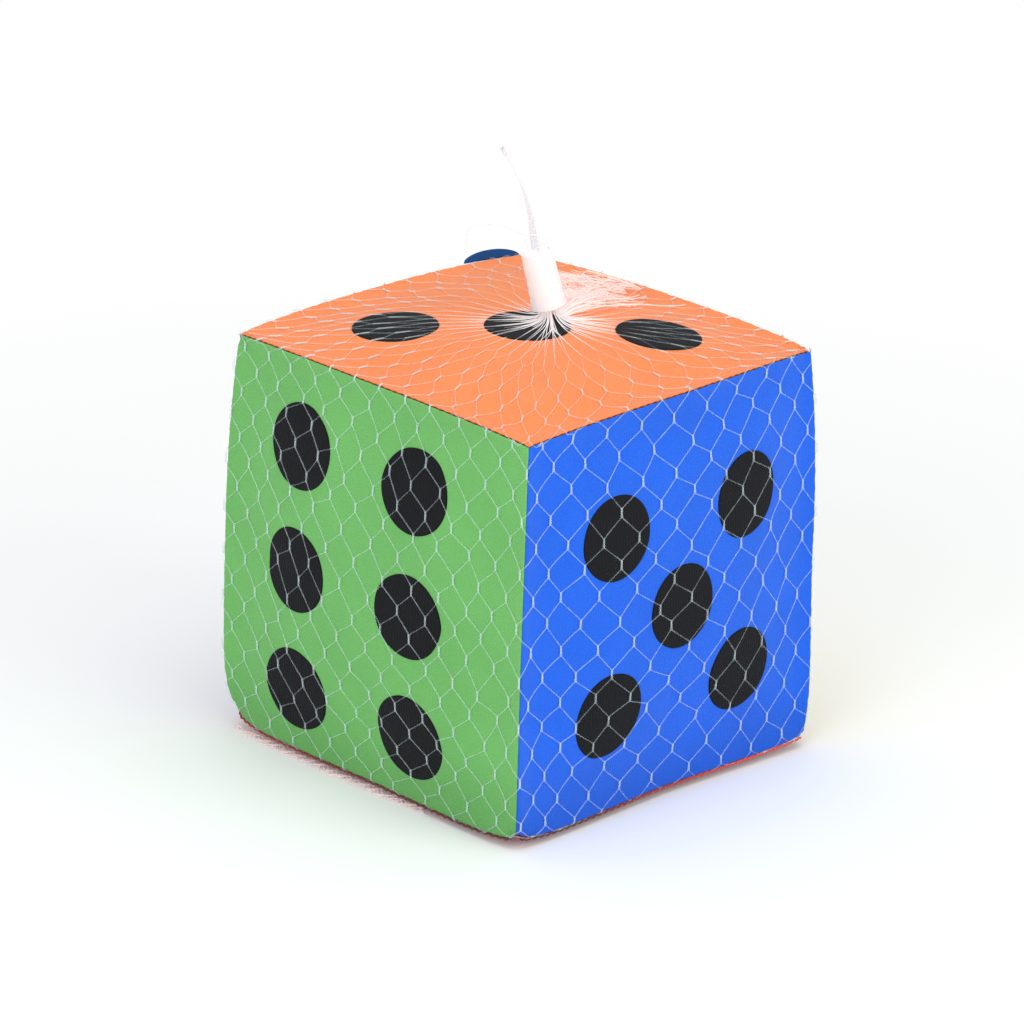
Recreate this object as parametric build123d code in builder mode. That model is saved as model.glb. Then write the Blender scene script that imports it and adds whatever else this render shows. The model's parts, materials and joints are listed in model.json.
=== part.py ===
"""A soft foam dice in its sewn fabric cover, carried in a gathered plastic net bag.

Row frame: millimetres, +Z up, origin under the dice's centre on the surface it rests on. The side with
six pips faces -X, five faces -Y, two faces +Y, one faces +X, three is on top and four underneath.
"""

import os
from math import asin, cos, degrees, radians, sin, sqrt

from build123d import *

os.makedirs("parts", exist_ok=True)

# ---- Driving dimensions (mm and degrees) ----

# Dice body
HALF_EDGE = 74.2  # dice centre to the middle of an edge
BULGE = 3.7  # how far the middle of a side stands out past its edges
REST_SQUASH = 2.9  # how far the underside's bulge is pressed flat
COVER_T = 1.2  # quilted fabric of the cover
FIT_GAP = 0.2  # foam to cover

# Pips
PIP_DIA = 30.6
PIP_T = 0.3
PIP_LIFT = 0.1  # bond line between a pip and the cover
PIP_INSET = 41.7  # from the seams to an outer pip's centre
SIX_COLUMN_INSET = 46.0  # from the upright seams to the six's columns
SIX_ROW_INSET = 29.0  # from the level seams to its outer rows
SIX_SHIFT = (-5.3, -3.6)  # the six as it was bonded, off the middle of its side
FIVE_SHIFT = (0.6, -2.9)  # the five likewise

# Sewing
THREAD_DIA = 0.5
THREAD_LIFT = 0.35  # seam line to the thread's centre
THREAD_END = 3.0  # each thread stops this far short of its corner
LABEL_LEN = 27.0
LABEL_RISE = 4.4  # the folded ribbon's crown above the seam
LABEL_T = 1.0
LABEL_INSET = 19.2  # from the seam's end to the label's middle
LABEL_TILT = 20.0  # the label leans outwards
LABEL_GAP = 0.1  # label to thread

# Net bag
NET_GAP = 0.1  # net to what lies proud of the cover
NET_T = 0.6
NET_SLOT = 0.6  # room round the label where it pokes through the mesh
GATHER_U = 8.2  # gather's place on the top, along the leaning direction
GATHER_V = 3.9  # and across it, towards the rear
LEAN_HEADING = -45.0  # direction that U runs in, seen from above
PIVOT_RISE = 2.1  # net's top to the neck's pivot
FOOT_R = 10.0  # where the gathered strands leave the top
NECK_R = 3.0
FLARE_SAG = 1.8  # how far the gather's flare hollows below a straight cone
MOUTH_GAP = 0.3

# Closure, along its own leaning axis
CLOSURE_LEAN = 14.4
NECK_GAP = 0.4  # neck's rounded end to the sleeve's lower edge
CLOSURE_LEN = 21.3
CLOSURE_BASE_R = 6.2
CLOSURE_TOP_R = 5.5
CLOSURE_WALL = 0.9
CLOSURE_ROUND = 0.4
PLUG_GAP = 0.05
PLUG_INSET = 0.5  # net ends begin this far up inside the sleeve
PLUG_PROUD = 0.5  # and come out this far past its top

# Hang strip and stray strands, in the upright plane that the closure leans in, from its top's middle
STRIP_W = 1.6
STRIP_T = 0.7
STRIP_ROUTE = [(-1.4, 6.6), (-3.6, 16.6), (-7.9, 27.1), (-13.3, 36.6)]
STRIP_BENDS = [14.0, 20.0, 20.0]
STRIP_HEAD = 2.6
STRAND_DIA = 0.7
STRAND_GAP = 0.2  # filament to hang strip
STRAND_ROUTE = [
    (6.7, 3.4),
    (0.5, 5.5),
    (-4.1, 5.2),
    (-8.2, 7.3),
    (-13.5, 8.8),
    (-21.7, 8.2),
    (-24.3, 4.6),
    (-23.9, -2.0),
]
STRAND_BENDS = [4.0, 4.0, 4.0, 8.0, 6.0, 2.2]
STUB_SPOTS = [-2.4, 1.7]  # across the closure's axis
STUB_LEN = 4.6

# Spare net beside the closure
RUFF_R = 52.0
RUFF_HIGH = 7.0
RUFF_LOW = 2.5
RUFF_START = 40.0  # from the U direction, turning to the rear
RUFF_ARC = 52.0

# Hem: the bag's welded lower edge, flat on the surface beside the side with six pips
HEM_W = 5.0
HEM_T = 0.6
HEM_GAP = 0.3
HEM_FRONT = 30.0  # from the dice's middle to the hem's front end
HEM_REAR = 66.0  # and to its rear end

# ---- Worked out from them ----

FACE = HALF_EDGE + BULGE
BALL_R = (HALF_EDGE**2 + BULGE**2) / (2 * BULGE)
THREAD_PROUD = THREAD_LIFT / sqrt(2) + THREAD_DIA / 2
LABEL_SEAT = THREAD_PROUD + LABEL_GAP
NET_LIFT = max(THREAD_PROUD, PIP_LIFT + PIP_T) + NET_GAP
NET_OUT = NET_LIFT + NET_T
REST_DEPTH = FACE - REST_SQUASH
PIP_STEP = HALF_EDGE - PIP_INSET
SIX_COLUMN = HALF_EDGE - SIX_COLUMN_INSET
SIX_ROW = HALF_EDGE - SIX_ROW_INSET
LABEL_AT = HALF_EDGE - LABEL_INSET
CENTRE = Vector(0, 0, REST_DEPTH + NET_OUT)
OUTSIDE = FACE + 20

SIDES = {
    "one": Plane(CENTRE, x_dir=(0, 1, 0), z_dir=(1, 0, 0)),
    "two": Plane(CENTRE, x_dir=(-1, 0, 0), z_dir=(0, 1, 0)),
    "three": Plane(CENTRE, x_dir=(1, 0, 0), z_dir=(0, 0, 1)),
    "four": Plane(CENTRE, x_dir=(1, 0, 0), z_dir=(0, 0, -1)),
    "five": Plane(CENTRE, x_dir=(1, 0, 0), z_dir=(0, -1, 0)),
    "six": Plane(CENTRE, x_dir=(0, -1, 0), z_dir=(-1, 0, 0)),
}

LEAN_X = Vector(cos(radians(LEAN_HEADING)), sin(radians(LEAN_HEADING)), 0)
LEAN_BACK = Vector(-LEAN_X.Y, LEAN_X.X, 0)
GATHER = CENTRE + LEAN_X * GATHER_U + LEAN_BACK * GATHER_V
TOP_DROP = (GATHER_U**2 + GATHER_V**2) / (2 * BALL_R)
NET_TOP = FACE - TOP_DROP + NET_OUT
PIVOT = GATHER + Vector(0, 0, NET_TOP + PIVOT_RISE)

UPRIGHT = Plane(PIVOT, x_dir=LEAN_X, z_dir=-LEAN_BACK)


def turned(plane, angle):
    """The plane turned in itself by so many degrees."""
    across = plane.x_dir.rotate(Axis((0, 0, 0), plane.z_dir), angle)
    return Plane(plane.origin, x_dir=across, z_dir=plane.z_dir)


CLOSURE_START = NECK_R + NECK_GAP
CLOSURE_END = CLOSURE_START + CLOSURE_LEN
PLUG_END = CLOSURE_END + PLUG_PROUD
LEANING = turned(UPRIGHT, CLOSURE_LEAN)
CROWN = Plane(LEANING.from_local_coords(Vector(0, PLUG_END)), x_dir=LEAN_X, z_dir=-LEAN_BACK)


def save(part, name):
    """Labels a finished piece and writes it as its own node."""
    part.label = name
    export_step(part, f"parts/{name}.step")


def pillow(grown):
    """The dice's rounded cube, grown by so much: six large balls' common part, flat underneath."""
    radius = BALL_R + grown
    resting = CENTRE - Vector(0, 0, REST_DEPTH + grown)
    with BuildPart() as body:
        with Locations(resting):
            Box(2 * OUTSIDE, 2 * OUTSIDE, 2 * OUTSIDE, align=(Align.CENTER, Align.CENTER, Align.MIN))
        for face in SIDES.values():
            ball = Plane(CENTRE + face.z_dir * (FACE - BALL_R), x_dir=-face.z_dir, z_dir=face.x_dir)
            with Locations(ball):
                Sphere(radius, mode=Mode.INTERSECT)
    return body.part


COVER_OUTER = pillow(0)
COVER_INNER = pillow(-COVER_T)
PIP_OUTER = pillow(PIP_LIFT + PIP_T)
PIP_INNER = pillow(PIP_LIFT)
NET_OUTER = pillow(NET_OUT)
NET_INNER = pillow(NET_LIFT)

# ---- Foam block ----

with BuildPart() as foam_core:
    add(pillow(-COVER_T - FIT_GAP))
save(foam_core.part, "foam_core")

# ---- Cover: six panels that meet on the mitre planes through the centre ----

for number, face in SIDES.items():
    with BuildPart() as cover_panel:
        for depth in (FACE / 2, OUTSIDE):
            with BuildSketch(face.offset(depth)):
                Rectangle(2 * depth, 2 * depth)
        loft()
        add(COVER_OUTER, mode=Mode.INTERSECT)
        add(COVER_INNER, mode=Mode.SUBTRACT)
    save(cover_panel.part, f"cover_panel_{number}")

# ---- Pips: thin round patches bonded on the panels ----


def square_spots(shift=(0, 0)):
    """The four outer pips of a side."""
    return [(shift[0] + i * PIP_STEP, shift[1] + j * PIP_STEP) for i in (-1, 1) for j in (-1, 1)]


PIP_SPOTS = {
    "one": [(0, 0)],
    "two": [(-PIP_STEP, PIP_STEP), (PIP_STEP, -PIP_STEP)],
    "three": [(-PIP_STEP, PIP_STEP), (0, 0), (PIP_STEP, -PIP_STEP)],
    "four": square_spots(),
    "five": square_spots(FIVE_SHIFT) + [FIVE_SHIFT],
    "six": [(SIX_SHIFT[0] + i * SIX_COLUMN, SIX_SHIFT[1] + j * SIX_ROW) for i in (-1, 1) for j in (-1, 0, 1)],
}

for number, face in SIDES.items():
    with BuildPart() as pips:
        with BuildSketch(face):
            with Locations(*PIP_SPOTS[number]):
                Circle(PIP_DIA / 2)
        extrude(amount=OUTSIDE)
        add(PIP_OUTER, mode=Mode.INTERSECT)
        add(PIP_INNER, mode=Mode.SUBTRACT)
    save(pips.part, f"pips_{number}")

# ---- Seam threads: one along each of the twelve edges ----

SEAM_R = sqrt(BALL_R**2 - (FACE - BALL_R) ** 2 / 2)
SEAM_HALF_ARC = degrees(asin((HALF_EDGE - THREAD_END - BULGE) / SEAM_R))
SEAMS = [
    (first, second)
    for i, first in enumerate(SIDES.values())
    for second in list(SIDES.values())[i + 1 :]
    if abs(first.z_dir.dot(second.z_dir)) < 0.5
]

with BuildPart() as seam_threads:
    for first, second in SEAMS:
        middle = CENTRE + (first.z_dir + second.z_dir) * ((FACE - BALL_R) / 2)
        outward = (first.z_dir + second.z_dir).normalized()
        turning = (first.z_dir - second.z_dir).normalized()
        start = turned(Plane(middle, x_dir=outward, z_dir=turning), -SEAM_HALF_ARC)
        section = Plane(middle, x_dir=start.x_dir, z_dir=start.y_dir)
        with BuildSketch(section):
            with Locations((SEAM_R + THREAD_LIFT, 0)):
                Circle(THREAD_DIA / 2)
        revolve(axis=Axis(middle, turning), revolution_arc=2 * SEAM_HALF_ARC)
save(seam_threads.part, "seam_threads")

# ---- Seam label: a folded ribbon caught in the top rear seam ----

SEAM_DROP = LABEL_AT**2 / (2 * SEAM_R) / sqrt(2)
LABEL_ROOT = CENTRE + Vector(LABEL_AT, HALF_EDGE - SEAM_DROP, HALF_EDGE - SEAM_DROP)
LABEL_SLOPE = degrees(asin(LABEL_AT / SEAM_R)) / sqrt(2)
LABEL_FACING = Vector(0, -1, 0).rotate(Axis.X, -LABEL_TILT)
LABEL_PLANE = Plane(LABEL_ROOT, x_dir=(1, 0, 0), z_dir=LABEL_FACING)


def label_blank(room):
    """The ribbon's arched outline, with so much room all round, reaching down past the seam."""
    half = LABEL_LEN / 2 + room
    with BuildPart() as blank:
        with BuildSketch(turned(LABEL_PLANE, -LABEL_SLOPE)):
            with BuildLine():
                ThreePointArc((-half, 0), (0, LABEL_RISE + room), (half, 0))
                Polyline((half, 0), (half, -3 * LABEL_T), (-half, -3 * LABEL_T), (-half, 0))
            make_face()
        extrude(amount=LABEL_T / 2 + room, both=True)
    return blank.part


with BuildPart() as seam_label:
    add(label_blank(0))
    add(pillow(LABEL_SEAT), mode=Mode.SUBTRACT)
save(seam_label.part, "seam_label")

# ---- Net bag: the mesh round the dice, as a thin skin with a mouth under the gather ----

with BuildPart() as net_bag:
    add(NET_OUTER)
    add(NET_INNER, mode=Mode.SUBTRACT)
    with BuildSketch(Plane(GATHER)):
        Circle(FOOT_R + MOUTH_GAP)
    extrude(amount=OUTSIDE, mode=Mode.SUBTRACT)
    add(label_blank(NET_SLOT), mode=Mode.SUBTRACT)
save(net_bag.part, "net_bag")

# ---- Gather: the mesh drawn together into a neck, with a rounded end that the closure turns on ----

with BuildPart() as net_gather:
    with BuildSketch(Plane(PIVOT, x_dir=LEAN_X, z_dir=-LEAN_BACK)):
        with BuildLine():
            neck = (NECK_R, 0)
            foot = (FOOT_R, -PIVOT_RISE - NET_T / 2)
            waist = ((neck[0] + foot[0]) / 2 - FLARE_SAG, (neck[1] + foot[1]) / 2 - FLARE_SAG / 3)
            CenterArc((0, 0), NECK_R, 0, 90)
            ThreePointArc(neck, waist, foot)
            Polyline(foot, (FOOT_R, -3 * NET_OUT - PIVOT_RISE), (0, -3 * NET_OUT - PIVOT_RISE), (0, NECK_R))
        make_face()
    revolve(axis=Axis(PIVOT, (0, 0, 1)))
    add(NET_INNER, mode=Mode.SUBTRACT)
save(net_gather.part, "net_gather")

# ---- Closure: a tapered white sleeve crimped over the bunched net ends ----


def bore_radius(along):
    """The sleeve's inner radius so far above its lower end."""
    outer = CLOSURE_BASE_R + (CLOSURE_TOP_R - CLOSURE_BASE_R) * along / CLOSURE_LEN
    return outer - CLOSURE_WALL


with BuildPart() as closure_sleeve:
    with BuildSketch(LEANING):
        with BuildLine():
            Polyline(
                (bore_radius(0), CLOSURE_START),
                (CLOSURE_BASE_R, CLOSURE_START),
                (CLOSURE_TOP_R, CLOSURE_END),
                (bore_radius(CLOSURE_LEN), CLOSURE_END),
                close=True,
            )
        make_face()
    revolve(axis=Axis(PIVOT, LEANING.y_dir))
    fillet(closure_sleeve.edges().filter_by(GeomType.CIRCLE), CLOSURE_ROUND)
save(closure_sleeve.part, "closure_sleeve")

with BuildPart() as net_ends:
    with BuildSketch(LEANING):
        with BuildLine():
            Polyline(
                (0, CLOSURE_START + PLUG_INSET),
                (bore_radius(PLUG_INSET) - PLUG_GAP, CLOSURE_START + PLUG_INSET),
                (bore_radius(CLOSURE_LEN) - PLUG_GAP, CLOSURE_END),
                (bore_radius(CLOSURE_LEN) - PLUG_GAP - PLUG_PROUD / 2, PLUG_END),
                (0, PLUG_END),
                close=True,
            )
        make_face()
    revolve(axis=Axis(PIVOT, LEANING.y_dir))
save(net_ends.part, "net_ends")

# ---- Hang strip: the flat plastic tail that stands out of the closure, with its small head ----

with BuildPart() as hang_strip:
    with BuildLine(CROWN) as strip_route:
        FilletPolyline((0, 0), *STRIP_ROUTE, radius=STRIP_BENDS)
    with BuildSketch(Plane(strip_route.line @ 0, x_dir=-LEAN_BACK, z_dir=strip_route.line % 0)):
        Rectangle(STRIP_W, STRIP_T)
    sweep(path=strip_route.line)
    with Locations(Plane(strip_route.line @ 1, x_dir=-LEAN_BACK, z_dir=strip_route.line % 1)):
        Box(STRIP_HEAD, STRIP_HEAD / 2, STRIP_HEAD / 2, align=(Align.CENTER, Align.CENTER, Align.MIN))
save(hang_strip.part, "hang_strip")

# ---- Stray strands: two cut stubs on the closure's top and a long filament lying across them ----

STRAND_OUT = (STRIP_W + STRAND_DIA) / 2 + STRAND_GAP

with BuildPart() as stray_strands:
    with BuildLine(CROWN.offset(STRAND_OUT)) as strand_route:
        FilletPolyline(*STRAND_ROUTE, radius=STRAND_BENDS)
    with BuildSketch(Plane(strand_route.line @ 0, z_dir=strand_route.line % 0)):
        Circle(STRAND_DIA / 2)
    sweep(path=strand_route.line)
    for across in STUB_SPOTS:
        foot = LEANING.from_local_coords(Vector(across, PLUG_END, STRAND_OUT))
        with BuildSketch(Plane(foot, z_dir=LEANING.y_dir)):
            Circle(STRAND_DIA / 2)
        extrude(amount=STUB_LEN)
save(stray_strands.part, "stray_strands")

# ---- Ruff: the crumpled spare net that stands beside the gather ----

with BuildPart() as net_ruff:
    ruff_heading = LEAN_X.rotate(Axis.Z, RUFF_START)
    with BuildSketch(Plane(PIVOT, x_dir=ruff_heading, z_dir=ruff_heading.cross(Vector(0, 0, 1)))):
        inner = FOOT_R + MOUTH_GAP
        with BuildLine():
            Polyline(
                (inner, -PIVOT_RISE - NET_OUT),
                (inner, RUFF_HIGH / 2 - PIVOT_RISE),
                ((inner + RUFF_R) / 2, RUFF_HIGH - PIVOT_RISE),
                (RUFF_R, RUFF_LOW - PIVOT_RISE),
                (RUFF_R, -PIVOT_RISE - 3 * NET_OUT),
                close=True,
            )
        make_face()
    revolve(axis=Axis(PIVOT, (0, 0, 1)), revolution_arc=RUFF_ARC)
    add(pillow(NET_OUT + FIT_GAP), mode=Mode.SUBTRACT)
save(net_ruff.part, "net_ruff")

# ---- Hem: the welded lower edge of the bag, lying beside the side with six pips ----

HEM_INNER = HALF_EDGE - REST_SQUASH + NET_OUT + HEM_GAP

with BuildPart() as net_hem:
    with BuildSketch():
        with BuildLine():
            Polyline(
                (-HEM_INNER, -HEM_FRONT),
                (-HEM_INNER - HEM_W, -HEM_FRONT + HEM_W),
                (-HEM_INNER - HEM_W, HEM_REAR - HEM_W),
                (-HEM_INNER, HEM_REAR),
                close=True,
            )
        make_face()
    extrude(amount=HEM_T)
    add(pillow(NET_OUT + HEM_GAP), mode=Mode.SUBTRACT)
save(net_hem.part, "net_hem")
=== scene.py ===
"""Looks of a soft foam dice in its sewn cover, carried in a gathered plastic net bag."""

import json
from math import cos, pi, radians, sin, tau

import bmesh
import bpy
import numpy as np
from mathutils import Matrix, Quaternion, Vector


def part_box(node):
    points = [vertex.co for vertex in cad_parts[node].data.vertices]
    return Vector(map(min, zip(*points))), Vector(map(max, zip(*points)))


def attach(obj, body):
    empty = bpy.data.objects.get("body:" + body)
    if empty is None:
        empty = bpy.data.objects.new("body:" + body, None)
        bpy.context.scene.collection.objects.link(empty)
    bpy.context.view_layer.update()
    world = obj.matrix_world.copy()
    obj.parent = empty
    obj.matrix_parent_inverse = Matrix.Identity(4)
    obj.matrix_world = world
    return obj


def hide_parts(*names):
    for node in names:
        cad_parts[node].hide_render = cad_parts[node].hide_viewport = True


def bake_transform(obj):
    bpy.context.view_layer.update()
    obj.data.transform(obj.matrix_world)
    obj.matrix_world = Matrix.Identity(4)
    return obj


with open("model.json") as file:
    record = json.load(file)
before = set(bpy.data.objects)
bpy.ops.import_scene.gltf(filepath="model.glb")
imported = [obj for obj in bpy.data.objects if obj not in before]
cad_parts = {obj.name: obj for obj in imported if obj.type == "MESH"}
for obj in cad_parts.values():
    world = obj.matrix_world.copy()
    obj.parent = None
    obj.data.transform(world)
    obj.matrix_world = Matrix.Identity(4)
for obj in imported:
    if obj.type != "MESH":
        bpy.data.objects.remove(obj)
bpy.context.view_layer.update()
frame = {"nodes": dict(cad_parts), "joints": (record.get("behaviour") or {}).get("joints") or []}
MM = 0.001

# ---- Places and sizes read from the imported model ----

side_low, side_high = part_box("cover_panel_one")
under_low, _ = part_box("cover_panel_four")
HALF_EDGE = side_high.y
FACE = side_high.x
BULGE = FACE - HALF_EDGE
BALL_R = (HALF_EDGE**2 + BULGE**2) / (2 * BULGE)
CENTRE = np.array([0, 0, (side_low.z + side_high.z) / 2])
REST_DEPTH = CENTRE[2] - under_low.z
TILT = frame["joints"][0]
PIVOT = np.array(TILT["pos_m"])
LEAN_BACK = -np.array(TILT["axis"])
LEAN_BACK = LEAN_BACK / np.linalg.norm(LEAN_BACK)
LEAN_X = np.array([LEAN_BACK[1], -LEAN_BACK[0], 0])
UP = np.array([0, 0, 1.0])

# ---- Sizes of what this file adds ----

# Cover
EDGE_R = 1.9 * MM  # rounding along a seam
UNDER_EDGE_R = 3.4 * MM  # and along the seams round the underside
UNDER_SPAN = 9.0 * MM
CORNER_SPAN = 12.0 * MM
# Rounding at each corner, by which way it lies in x, y and z
CORNERS = {
    (-1, 1, 1): 2.0 * MM,
    (-1, -1, 1): 3.4 * MM,
    (1, -1, 1): 2.4 * MM,
    (1, 1, 1): 2.2 * MM,
    (-1, 1, -1): 9.0 * MM,
    (-1, -1, -1): 6.5 * MM,
    (1, -1, -1): 4.0 * MM,
    (1, 1, -1): 8.0 * MM,
}
# How far a corner of the soft block is drawn off its plain place
PULLS = {
    (-1, -1, -1): (-4.4 * MM, -5.6 * MM, -4.0 * MM),
    (1, -1, -1): (1.8 * MM, -8.8 * MM, -2.6 * MM),
    (1, 1, -1): (0.8 * MM, 0.8 * MM, -2.4 * MM),
    (-1, 1, -1): (-3.2 * MM, 1.8 * MM, -2.4 * MM),
    (-1, 1, 1): (-0.6 * MM, 0.6 * MM, 2.2 * MM),
    (1, -1, 1): (-0.2 * MM, 0.2 * MM, 3.0 * MM),
    (1, 1, 1): (0.0, 0.0, 1.1 * MM),
}
PULL_FALL = 1.6  # how fast a pull fades away from its corner
PRESS_BAND = 1.2 * MM  # the cover turns flat on the floor within this height, up and down
SWELL_CELLS = 36  # cloth cells across a side
SWELL_CAP = 1.6 * MM
SWELL_RIM = 6  # cells beside the seams that are left out of a side's mean
SETTLE_STEPS = 20
SLACK = 0.4 * MM  # how far in the cloth starts
PANEL_T = 1.2 * MM
SEAM_GROOVE = 0.9 * MM
UPRIGHT_GROOVE = 0.45 * MM
GROOVE_W = 1.15 * MM
PUCKER = 0.16 * MM
PUCKER_REACH = 3.2 * MM
PUCKER_PITCH = 5.2 * MM
CREASE = 0.5 * MM
CREASES = 4  # at each corner of a side

# Pips
PIP_R = 15.3 * MM
PIP_STAND = 0.4 * MM

# Sewing
STITCH = 3.2 * MM
THREAD_R = 0.22 * MM
# The underside seams' thread is thicker and stands out to make a dark line along the bottom edges. It is
# partly real thread and partly painted contact shadow.
UNDER_THREAD_R = 0.42 * MM
UNDER_THREAD_LIFT = 0.2 * MM
STITCH_DIP, STITCH_SWAY = 0.2 * MM, 0.1 * MM
# The lower thread's red is painted reflection of the red underside. Its dark part at the front corner is
# painted contact shadow.
RED_FROM, RED_OVER = 20 * MM, 110 * MM  # where the lower thread turns red, away from the front corner

# Net
COLUMNS = 40
ROWS = 30
STRAND_R = 0.24 * MM
WELD_R = 0.36 * MM
WELD_HALF = 1.6 * MM
STRAND_LIFT = 0.5 * MM
HAND_LIFT = 0.06 * MM  # one hand of strands lies this far over the middle and the other under it
WELD_ASIDE = 0.16 * MM  # each strand's distance from the middle of a weld
NET_SLACK = 0.1 * MM
WARP_ROWS, WARP_COLUMNS = 0.09, 0.035  # slow drift of the cells, in rows and columns

# Closure
CLOSURE_LEAN = radians(14.4)
SLEEVE_START = 3.4 * MM
SLEEVE_LEN = 21.3 * MM
SLEEVE_BASE_R = 6.2 * MM
SLEEVE_TOP_R = 5.5 * MM
SLEEVE_WALL = 0.9 * MM
SLEEVE_END = SLEEVE_START + SLEEVE_LEN
LIP_R = 0.45 * MM

SIDES = {
    "one": ((1, 0, 0), (0, 1, 0), (0, 0, 1)),
    "two": ((0, 1, 0), (-1, 0, 0), (0, 0, 1)),
    "three": ((0, 0, 1), (1, 0, 0), (0, 1, 0)),
    "four": ((0, 0, -1), (1, 0, 0), (0, -1, 0)),
    "five": ((0, -1, 0), (1, 0, 0), (0, 0, 1)),
    "six": ((-1, 0, 0), (0, -1, 0), (0, 0, 1)),
}
NAMES = list(SIDES)
BASES = np.array(list(SIDES.values()), float)
TOP, UNDER = NAMES.index("three"), NAMES.index("four")


# ---- Materials ----


def operator_pair(operation):
    """An operator of signals and its reflected form, as Math nodes."""

    def plain(self, other):
        return self.maths(operation, self, other)

    def reflected(self, other):
        return self.maths(operation, other, self)

    return plain, reflected


class Signal:
    """A value on its way through the nodes of a tree."""

    __add__, __radd__ = operator_pair("ADD")
    __sub__, __rsub__ = operator_pair("SUBTRACT")
    __mul__, __rmul__ = operator_pair("MULTIPLY")
    __truediv__, __rtruediv__ = operator_pair("DIVIDE")
    __pow__, __rpow__ = operator_pair("POWER")

    def __init__(self, nodes, socket):
        self.nodes = nodes
        self.socket = socket

    def maths(self, operation, *values):
        return self.nodes.node("ShaderNodeMath", {"operation": operation}, dict(enumerate(values)))

    def wave(self, pitch):
        """A sine wave from 0 to 1 with that pitch."""
        return self.maths("SINE", self * (tau / pitch)) * 0.5 + 0.5

    def held(self):
        """Kept between 0 and 1."""
        return self.maths("MINIMUM", self.maths("MAXIMUM", self, 0.0), 1.0)


class Nodes:
    """The nodes of a material or of the world."""

    def __init__(self, owner):
        owner.use_nodes = True
        self.tree = owner.node_tree

    def node(self, kind, settings, inputs, out=0):
        """Adds a node: its settings first, then the values or links of its sockets."""
        node = self.tree.nodes.new(kind)
        for key, value in settings.items():
            setattr(node, key, value)
        for key, value in inputs.items():
            self.feed(node.inputs[key], value)
        return Signal(self, node.outputs[out])

    def feed(self, socket, value):
        if isinstance(value, Signal):
            self.tree.links.new(value.socket, socket)
        else:
            socket.default_value = value

    def show(self, output, share, low, high):
        """Sends a mix of two shaders to the output node."""
        mix = self.node("ShaderNodeMixShader", {}, {0: share, 1: low, 2: high})
        self.feed(self.tree.nodes[output].inputs["Surface"], mix)


class Finish(Nodes):
    """One material, built round its surface shader."""

    def __init__(self, name):
        self.material = bpy.data.materials.new(name)
        super().__init__(self.material)
        self.shader = self.tree.nodes["Principled BSDF"]

    def surface(self, **inputs):
        """Sets the surface shader's sockets, with _ for the spaces in their names."""
        for key, value in inputs.items():
            self.feed(self.shader.inputs[key.replace("_", " ")], value)

    def place(self):
        """Where a point lies on the object, as a vector."""
        return self.node("ShaderNodeTexCoord", {}, {}, out="Object")

    def along(self, axis):
        """The point's distance along x, y or z."""
        return self.node("ShaderNodeSeparateXYZ", {}, {0: self.place()}, out="XYZ".index(axis))

    def noise(self, scale, detail=2.0, roughness=0.5):
        inputs = {"Vector": self.place(), "Scale": scale, "Detail": detail, "Roughness": roughness}
        return self.node("ShaderNodeTexNoise", {}, inputs)

    def weld(self):
        """The weld value that a mesh holds at each point."""
        return self.node("ShaderNodeAttribute", {"attribute_name": "weld"}, {}, out="Fac")

    def mixed(self, amount, low, high):
        """A colour between two, by the amount."""
        return self.node("ShaderNodeMix", {"data_type": "RGBA"}, {"Factor": amount, 6: low, 7: high}, out=2)

    def bumped(self, height, depth, strength=1.0):
        """Sends a height to the surface's normal, for relief of that depth in metres."""
        inputs = {"Height": height, "Distance": depth, "Strength": strength}
        self.surface(Normal=self.node("ShaderNodeBump", {}, inputs))


def shade(colour, amount):
    return (*(min(1.0, c * amount) for c in colour), 1.0)


def knit(name, colour, across, up):
    """Brushed tricot: fine wales and courses under a short nap, faintly mottled, with painted shade that
    darkens it near the floor.
    """
    cloth = Finish(name)
    u, v = cloth.along(across), cloth.along(up)
    patches = cloth.noise(38.0, 3.0)
    nap = cloth.noise(900.0, 3.0, 0.65)
    grain = cloth.noise(2600.0, 2.0, 0.6)
    wales = (u + nap * 0.0002).wave(0.0011)
    courses = (v + wales * 0.0003).wave(0.0008)
    weave = wales * courses
    tone = (patches * 0.5 + nap * 0.35 + weave * 0.22 - 0.05).held()
    clean = cloth.mixed(tone, shade(colour, 0.8), shade(colour, 1.18))
    # Painted shade: the colour falls to 0.6 of itself at the floor and comes back to full over the lowest 30
    # mm.
    painted_shade_fade = (cloth.along("Z") / 0.03).held() ** 0.5
    cloth.surface(
        Base_Color=cloth.mixed(painted_shade_fade, shade(colour, 0.6), clean),
        Roughness=0.88,
        Specular_IOR_Level=0.25,
        Sheen_Weight=0.18,
        Sheen_Roughness=0.45,
    )
    cloth.bumped(weave * 0.5 + nap * 0.8 + grain * 0.5, 0.00022, 0.55)
    return cloth.material


def pip_felt():
    """Black flocked patch with fine upright ribs and a few grey fibres."""
    felt = Finish("pip_felt")
    ribs = (felt.along("X") + felt.along("Y") + felt.noise(220.0) * 0.0006).wave(0.0013)
    fibres = felt.noise(1700.0, 3.0, 0.7)
    specks = (fibres - 0.6).held() * 3.0
    tone = (ribs * 0.22 + fibres * 0.5 + specks * 0.3).held()
    felt.surface(
        Base_Color=felt.mixed(tone, (0.002, 0.0022, 0.003, 1), (0.011, 0.0115, 0.016, 1)),
        Roughness=0.82,
        Specular_IOR_Level=0.22,
        Sheen_Weight=0.03,
        Sheen_Roughness=0.4,
    )
    felt.bumped(ribs * 0.5 + fibres, 0.0002, 0.6)
    return felt.material


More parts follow.
